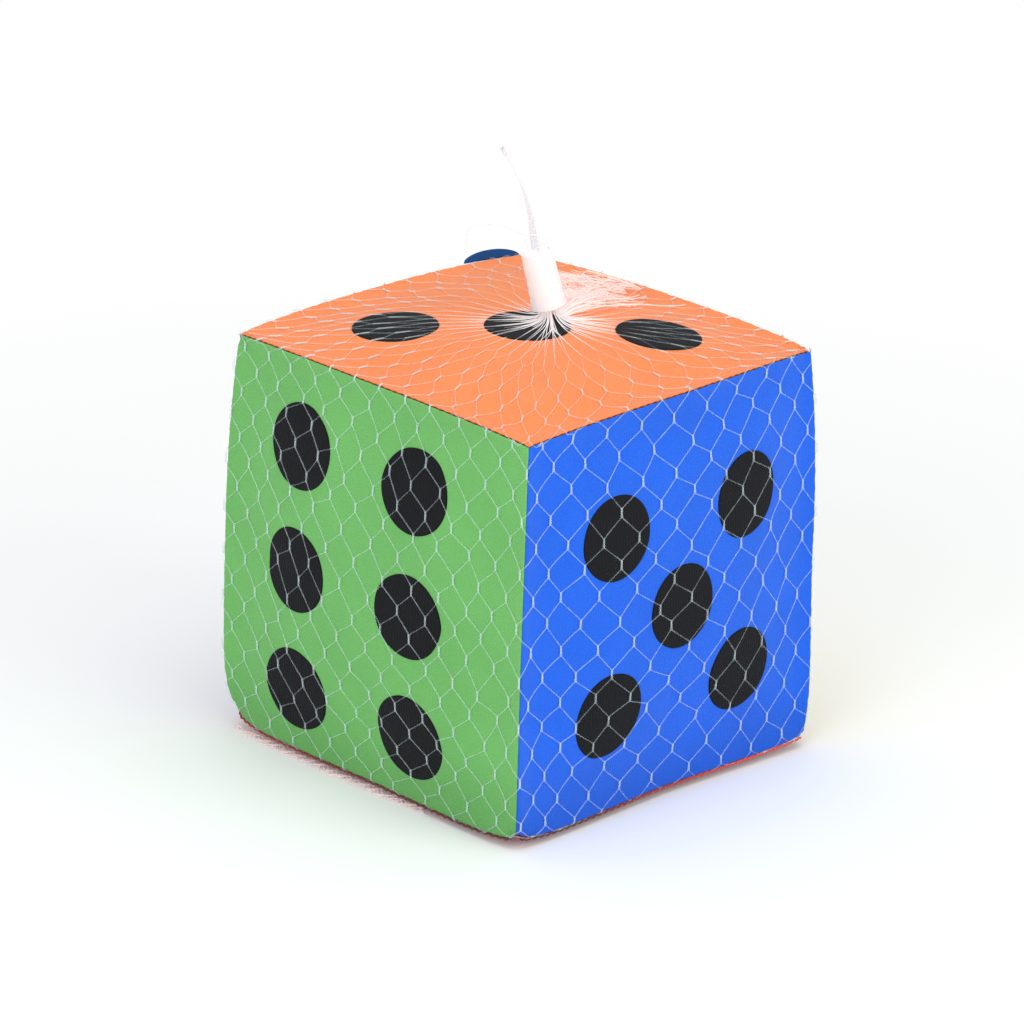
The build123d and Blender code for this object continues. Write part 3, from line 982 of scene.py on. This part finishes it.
around = 96
spin = np.arange(around) * tau / around
near_end = [0, 0.004, 0.012, 0.022]
far_end = [0.978, 0.988, 0.996, 1.0]
share = np.concatenate([near_end, np.linspace(0.04, 0.96, 44), far_end])
outer = SLEEVE_START + SLEEVE_LEN * share
edge_in = lip(outer - SLEEVE_START) + lip(SLEEVE_END - outer)
radius = SLEEVE_BASE_R + (SLEEVE_TOP_R - SLEEVE_BASE_R) * share - edge_in
crimp = np.zeros((len(outer), around))
for middle in (0.22, 0.38, 0.54):
    band = np.exp(-(((share - middle) / 0.045) ** 2))[:, None]
    crimp += 0.13 * MM * band * (0.35 + 0.65 * np.cos(spin) ** 8)
ridge = 0.12 * MM * np.exp(-((np.sin(spin - 0.9) / 0.05) ** 2))
skin = on_axis(outer[:, None], radius[:, None] - crimp + ridge, spin)
bore_r = radius - SLEEVE_WALL + edge_in * 2
lining = on_axis(outer[::-1, None], bore_r[::-1, None], spin)
shell = np.concatenate([skin, lining])
here, last_ring = np.arange(around), (len(shell) - 1) * around
after = (here + 1) % around
closing = np.stack([last_ring + here, last_ring + after, after, here], -1)
points = shell.reshape(-1, 3)
faces = np.concatenate([grid_faces(len(shell), around, closed=True)[:, ::-1], closing])
piece("closure_shell", points, faces, closure_plastic(), "closure", ["closure_sleeve"])

# The cut ends of the bunch, level with the sleeve's top and a little uneven
bunch = np.random.default_rng(8)
BUNCHED = 84
BUNCHED_R = 0.42 * MM
spots = np.sqrt(bunch.uniform(0, 1, BUNCHED)) * (SLEEVE_TOP_R - SLEEVE_WALL - 0.35 * MM)
heading = bunch.uniform(0, tau, BUNCHED)
tops = SLEEVE_END + bunch.uniform(-0.3, 0.45, BUNCHED) * MM
climb = np.linspace(0, 1, 8)
heights = (SLEEVE_START + 2.5 * MM) + (tops[:, None] - SLEEVE_START - 2.5 * MM) * climb
twist = heading[:, None] + 0.9 * climb
paths = on_axis(heights, spots[:, None] * (0.8 + 0.2 * climb), twist)
made = tubes(paths, LEAN_X, BUNCHED_R)
# Painted glow: the bunched ends give off a faint light of their own.
bunched_plastic = net_plastic("bunched_plastic", (0.95, 0.92, 0.94), 0.9, 1.2, glow=0.2)
bundle("bunched_ends", [with_weld(made, 0.6)], bunched_plastic, ["net_ends"], body="closure")

# ---- Hang strip and stray strands, from the middle of the closure's top, in its upright leaning plane ----

STRAY_FORWARD = 1.85 * MM
CROWN = PIVOT + lean_axis * (SLEEVE_END + 0.5 * MM)
STRIP_ROUTE = [(0, -2), (-0.6, 2), (-1.4, 6.6), (-2.3, 11.6), (-3.6, 16.6), (-5.4, 21.8), (-7.9, 27.1)]
STRIP_ROUTE += [(-13.1, 36.2)]  # the end of its small head
STRAND_ROUTE = [(6.7, 3.4), (3.4, 4.6), (0.5, 5.5), (-4.1, 5.4), (-8.2, 7.3), (-13.5, 8.8), (-18.4, 8.9)]
STRAND_ROUTE += [(-22.6, 7.8), (-24.2, 4.6), (-23.9, -2.0)]
STRAY_R = 0.27 * MM
STUB_R = 0.34 * MM


def routed(route, steps, back=0.0):
    """A smooth run of points through a route that is given across and up, in millimetres."""
    knots = np.array(route, float) * MM
    knots = np.concatenate([2 * knots[:1] - knots[1:2], knots, 2 * knots[-1:] - knots[-2:-1]])
    places = np.linspace(0, len(route) - 1 - 1e-6, steps)
    k, t = places.astype(int), (places % 1)[:, None]
    p0, p1, p2, p3 = (knots[k + i] for i in range(4))
    square, cube = 2 * p0 - 5 * p1 + 4 * p2 - p3, 3 * p1 - p0 - 3 * p2 + p3
    flat = 0.5 * (2 * p1 + (p2 - p0) * t + square * t**2 + cube * t**3)
    return CROWN + LEAN_X * flat[:, :1] + UP * flat[:, 1:] + LEAN_BACK * back


def film(name, tint, alpha):
    """Clear drawn film with faint lengthwise streaks."""
    clear = Finish(name)
    streak = clear.noise(600.0, 2.0)
    haze = clear.noise(60.0, 2.0)
    clear.surface(
        Base_Color=clear.mixed(haze, shade(tint, 0.92), shade(tint, 1.03)),
        Roughness=0.3,
        Coat_Weight=0.2,
        Alpha=(streak * 0.1 + alpha - 0.05 + clear.weld() * 0.4).held(),
    )
    clear.bumped(streak, 0.00008, 0.4)
    return clear.material


steps, sides = 64, 12
share = np.linspace(0, 1, steps)
spine = routed(STRIP_ROUTE, steps)
ahead = np.gradient(spine, axis=0)
ahead /= np.linalg.norm(ahead, axis=1, keepdims=True)
twist = radians(82) * (1 - eased(share * 1.25 - 0.1)) + radians(10)
level = np.cross(ahead, LEAN_BACK)
broad = LEAN_BACK * np.cos(twist)[:, None] + level * np.sin(twist)[:, None]
thin = np.cross(ahead, broad)
head = eased((share - 0.955) / 0.02)
half_w = 1.3 * MM * (1 - 0.35 * share) + head * 0.4 * MM
half_t = 0.3 * MM + head * 0.35 * MM
outline = np.arange(sides) * tau / sides
section = np.stack([np.cos(outline), np.sin(outline)])
section = np.sign(section) * abs(section) ** 0.5
strip = (
    spine[:, None]
    + broad[:, None] * (section[0] * half_w[:, None])[..., None]
    + thin[:, None] * (section[1] * half_t[:, None])[..., None]
)
faces = grid_faces(steps, sides, closed=True).tolist()
faces += [list(range(sides))[::-1], list(range((steps - 1) * sides, steps * sides))]
points = strip.reshape(-1, 3)
milky = np.repeat(np.maximum(1 - eased(share * 2.2 - 0.25), head), sides)
clear_film = film("clear_strip", (0.85, 0.85, 0.9), 0.26)
piece("hanging_strip", points, faces, clear_film, "closure", ["hang_strip"], milky)

stray_steps = 110
stray = routed(STRAND_ROUTE, stray_steps, back=-STRAY_FORWARD)
thinner = 1 - 0.35 * np.linspace(0, 1, stray_steps) ** 3
made = tubes(stray[None], -LEAN_BACK, STRAY_R * thinner, 8)
parts = [with_weld(made, 0.4)]
for across, length, slope in ((-2.4, 4.9, -0.02), (1.7, 4.4, 0.05)):
    rise = np.linspace(-0.12, 1, 10) * length * MM
    foot = on_axis(SLEEVE_END + rise, np.full(10, across * MM), np.zeros(10))
    foot = foot - LEAN_BACK * STRAY_FORWARD + LEAN_X * (rise * slope)[:, None]
    parts.append(with_weld(tubes(foot[None], -LEAN_BACK, STUB_R, 8), 0.8))
# The stray strands keep net_plastic's painted glow.
stray_plastic = net_plastic("stray_plastic", (0.92, 0.89, 0.92), 0.3, 0.6)
bundle("stray_ends", parts, stray_plastic, ["stray_strands"], body="closure")

# ---- Ruff: folds of spare net, crumpled on the top beside the gather ----

RUFF_END_X = 71 * MM  # the crumple stops here, short of the rear right seam
RUFF_COLUMNS, RUFF_ROWS = 15, 11  # cells of each fold
RUFF_R, DRAWN_R = 0.15 * MM, 0.22 * MM
DRAWN, WISPS = 18, 7  # strands that run out of the ruff
chance = np.random.default_rng(23)
parts = []


def on_top(out, turn, lift):
    """Points and normals on the top, at distances and bearings from the gather."""
    x, y = GATHER_XY[0] + out * np.cos(turn), GATHER_XY[1] + out * np.sin(turn)
    return on_side(TOP, x, y, lift)


def crumpled(layer, columns, rows, start, arc, near, far, height):
    """One fold of spare net over a sector of the top, as strands of both hands."""
    waves = [(chance.uniform(2, 9), chance.uniform(1, 5), chance.uniform(0, tau)) for _ in range(7)]

    def spot(column, row):
        turn = start + arc * column / columns
        to_edge = (RUFF_END_X - GATHER_XY[0]) / np.cos(turn)
        far_here = np.minimum(far * (1 + 0.12 * np.sin(5 * turn + layer)), to_edge)
        out = near + (far_here - near) * (row / rows) ** 0.85
        wave = sum(np.sin(f * column * 0.9 + g * row * 0.8 + p) for f, g, p in waves) / 3.2
        spread = np.sin(pi * np.clip(0.1 + 0.8 * row / rows, 0, 1)) ** 0.7
        rise = (1.0 + height * spread * (0.55 + 0.45 * wave)) * MM
        turn = turn + 0.05 * np.sin(3 * row + layer) + 0.03 * wave
        return on_top(out, turn, np.maximum(rise, 1.0 * MM))

    shift = chance.normal(0, 0.16, (rows + 1, 2 * columns + 4))
    for hand in (-1, 1):
        steps_in, steps_row = [], []
        starts = np.arange(-rows // 2 if hand > 0 else 0, columns if hand > 0 else columns + rows // 2)
        for k in range(rows + 1):
            column = starts + hand * k / 2
            ring = np.clip(np.round(2 * column).astype(int), 0, 2 * columns + 3)
            jog = shift[k, ring]
            for step in (-0.12, 0.12):
                steps_in.append(column + jog + hand * 0.02 * np.sign(step))
                steps_row.append(np.full(starts.shape, k + step) + jog * 0.5)
            if k < rows:
                for share in (0.35, 0.65):
                    steps_in.append(column + jog * (1 - share) + hand * share / 2)
                    steps_row.append(np.full(starts.shape, k + share) + jog * 0.5 * (1 - share))
        column, row = np.array(steps_in).T, np.clip(np.array(steps_row).T, 0, rows)
        column = np.clip(column, 0, columns)
        paths, normals = spot(column, row)
        paths = softened(paths, 1)
        parts.append(with_weld(tubes(paths, normals, RUFF_R, 4), 0.3))


for layer, (start, arc, near, far, height) in enumerate(
    [(16, 31, 8, 70, 1.2), (14, 33, 7, 68, 3.4), (4, 34, 7, 42, 2.6)]
):
    crumpled(layer, RUFF_COLUMNS, RUFF_ROWS, radians(start), radians(arc), near * MM, far * MM, height)

# Drawn strands that run out of the ruff along the top
bearing = radians(-8) + radians(34) * (np.arange(DRAWN) + chance.uniform(-0.3, 0.3, DRAWN)) / DRAWN
length = chance.uniform(18, 56, DRAWN) * MM
along = np.linspace(0, 1, 26)
out = 5 * MM + length[:, None] * along
turn = bearing[:, None] + 0.06 * np.sin(3 * along + chance.uniform(0, tau, DRAWN)[:, None])
rise = (1.0 + chance.uniform(0.2, 2.6, DRAWN)[:, None] * np.sin(pi * along**0.7) ** 1.2) * MM
parts.append(with_weld(tubes(*on_top(out, turn, rise), DRAWN_R, 5), 0.7))

# Loose wisps over the rear right edge
bearing = radians(4) + radians(22) * np.arange(WISPS) / WISPS
along = np.linspace(0, 1, 30)
out = 32 * MM + (24 + chance.uniform(0, 7, WISPS)[:, None]) * MM * along
turn = bearing[:, None] + 0.12 * np.sin(4 * along + chance.uniform(0, tau, WISPS)[:, None])
rise = (2 + (4.5 + chance.uniform(0, 4, WISPS)[:, None]) * np.sin(pi * along / 1.25)) * MM
parts.append(with_weld(tubes(*on_top(out, turn, rise), RUFF_R, 5), 0.1))
# Painted light: the ruff's pink tint is painted reflection of the orange top, and its strong glow is painted
# light against the shade among its packed strands.
ruff_plastic = net_plastic("ruff_plastic", (1.0, 0.8, 0.77), 0.16, 0.42, glow=0.4)
bundle("crumpled_ruff", parts, ruff_plastic, ["net_ruff"])

# ---- Hem: the bag's welded lower edge and the cells squashed against it ----

hem_low, hem_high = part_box("net_hem")
HEM_FOLDS, HEM_CELLS, HEM_ENDS = 3, 17, 60
FOLD_R, END_R = 0.26 * MM, 0.18 * MM
chance = np.random.default_rng(31)
parts = []
length = hem_high.y - hem_low.y
inner_x, outer_x = hem_high.x + 1.5 * MM, hem_low.x + 2.6 * MM
for fold in range(HEM_FOLDS):
    t = np.linspace(0, 1, HEM_CELLS * 8 + 1)
    zigzag = abs((t * HEM_CELLS + fold * 0.37) % 1 * 2 - 1)
    fade = 0.45 + 0.55 * np.sin(pi * np.clip(t * 1.1, 0, 1)) ** 0.5
    x = inner_x + (outer_x - 1.6 * MM - inner_x) * (0.2 + 0.8 * zigzag) * fade
    y = hem_low.y + length * t + 0.9 * MM * np.sin(9 * tau * t + fold)
    z = (0.35 + 0.5 * fold + 0.4 * (1 - zigzag)) * MM + 0.25 * MM * np.sin(23 * t + fold)
    path = softened(np.stack([x, y, np.maximum(z, 0.35 * MM)], -1)[None], 1)
    parts.append(with_weld(tubes(path, UP, FOLD_R, 5), 0.35))
y = hem_low.y + length * (np.arange(HEM_ENDS) + chance.uniform(-0.4, 0.4, HEM_ENDS)) / HEM_ENDS
reach_out = chance.uniform(0.5, 2.6, HEM_ENDS) * MM
lean = chance.normal(0, 1.1, HEM_ENDS) * MM
t = np.linspace(0, 1, 7)
x = (inner_x - 2.2 * MM) - reach_out[:, None] * t
z = 0.4 * MM + 0.9 * MM * np.sin(pi * t) * np.ones((HEM_ENDS, 1))
paths = np.stack([x, y[:, None] + lean[:, None] * t, z], -1)
parts.append(with_weld(tubes(paths, UP, END_R, 5), 0.1))
# Painted light: the hem's pink tint is painted reflection of the red underside, and its glow is painted light.
hem_plastic = net_plastic("hem_plastic", (1.0, 0.76, 0.74), 0.12, 0.24, glow=0.3)
bundle("welded_hem", parts, hem_plastic, ["net_hem"])

# ---- Foam block inside the cover ----

FOAM_IN = 1.9 * MM  # under the cover's outer face
FOAM_LINES = 31
steps = np.linspace(-1, 1, FOAM_LINES)
a, b = np.meshgrid(steps, steps, indexing="ij")
points = np.concatenate([lay(k, a, b, -FOAM_IN)[0].reshape(-1, 3) for k in range(6)])
faces = np.concatenate([grid_faces(FOAM_LINES, FOAM_LINES, k * a.size) for k in range(6)])
block = piece("foam_block", points, faces, foam_finish(), replaces=["foam_core"])
seam = bmesh.new()
seam.from_mesh(block.data)
bmesh.ops.remove_doubles(seam, verts=seam.verts, dist=1e-5)
seam.to_mesh(block.data)
seam.free()

# ---- Floor, light and camera ----

WHITE = (1.0, 1.0, 1.0, 1.0)
FLOOR_HALF = 4.0
SHADOW_REACH = 0.5  # the floor is white to the eye beyond this
SKY_POWER = 0.55


def pale_floor():
    """Matt pale floor that brightens to white away from the dice."""
    floor = Finish("pale_floor")
    path = "ShaderNodeLightPath"
    seen = (
        floor.node(path, {}, {}, out="Is Camera Ray")
        + floor.node(path, {}, {}, out="Is Glossy Ray")
        + floor.node(path, {}, {}, out="Is Transmission Ray")
    ).held()
    x, y = floor.along("X"), floor.along("Y")
    away = ((x * x + y * y) ** 0.5 / SHADOW_REACH).held() ** 1.6
    floor.surface(Base_Color=(0.9, 0.93, 0.93, 1), Roughness=0.7, Specular_IOR_Level=0.1)
    glow = floor.node("ShaderNodeEmission", {}, {"Color": WHITE, "Strength": 1.0})
    floor.show("Material Output", seen * away, Signal(floor, floor.shader.outputs[0]), glow)
    return floor.material


floor_mesh = bpy.data.meshes.new("floor")
corners = [(x * FLOOR_HALF, y * FLOOR_HALF, 0) for x, y in ((-1, -1), (1, -1), (1, 1), (-1, 1))]
floor_mesh.from_pydata(corners, [], [(0, 1, 2, 3)])
floor_mesh.materials.append(pale_floor())
floor = bpy.data.objects.new("floor", floor_mesh)
bpy.context.scene.collection.objects.link(floor)

world = bpy.data.worlds.new("studio")
bpy.context.scene.world = world
sky = Nodes(world)
dim = sky.node("ShaderNodeBackground", {}, {"Color": WHITE, "Strength": SKY_POWER})
bright = sky.node("ShaderNodeBackground", {}, {"Color": WHITE, "Strength": 1.0})
sky.show("World Output", sky.node("ShaderNodeLightPath", {}, {}, out="Is Camera Ray"), dim, bright)


def lamp(name, place, width, power, target=(0, 0, 0.08)):
    """A soft square lamp aimed at the dice."""
    light = bpy.data.lights.new(name, "AREA")
    light.size = width
    light.energy = power
    made = bpy.data.objects.new(name, light)
    made.location = place
    made.rotation_euler = (Vector(target) - Vector(place)).to_track_quat("-Z", "Y").to_euler()
    bpy.context.scene.collection.objects.link(made)


lamp("overhead", (-0.1, -0.1, 1.5), 1.3, 9.5)
lamp("left", (-1.35, -0.35, 0.75), 1.0, 8.5)
lamp("front_right", (0.35, -1.45, 0.8), 1.0, 8.0)

AZIMUTH, ELEVATION, ROLL = radians(-46.2), radians(21.18), radians(2.2)
VIEW_DISTANCE = 2.0775
camera_data = bpy.data.cameras.new("camera")
camera_data.sensor_width = 36
camera_data.lens = 206.6
camera_data.shift_x = -0.0073
camera_data.shift_y = 0.0226
camera = bpy.data.objects.new("camera", camera_data)
back = Vector((sin(AZIMUTH) * cos(ELEVATION), -cos(AZIMUTH) * cos(ELEVATION), sin(ELEVATION)))
camera.location = Vector(CENTRE) + back * VIEW_DISTANCE
camera.rotation_mode = "QUATERNION"
camera.rotation_quaternion = (-back).to_track_quat("-Z", "Y") @ Quaternion((0, 0, 1), ROLL)
bpy.context.scene.collection.objects.link(camera)
bpy.context.scene.camera = camera
bpy.context.scene.view_settings.view_transform = "Standard"
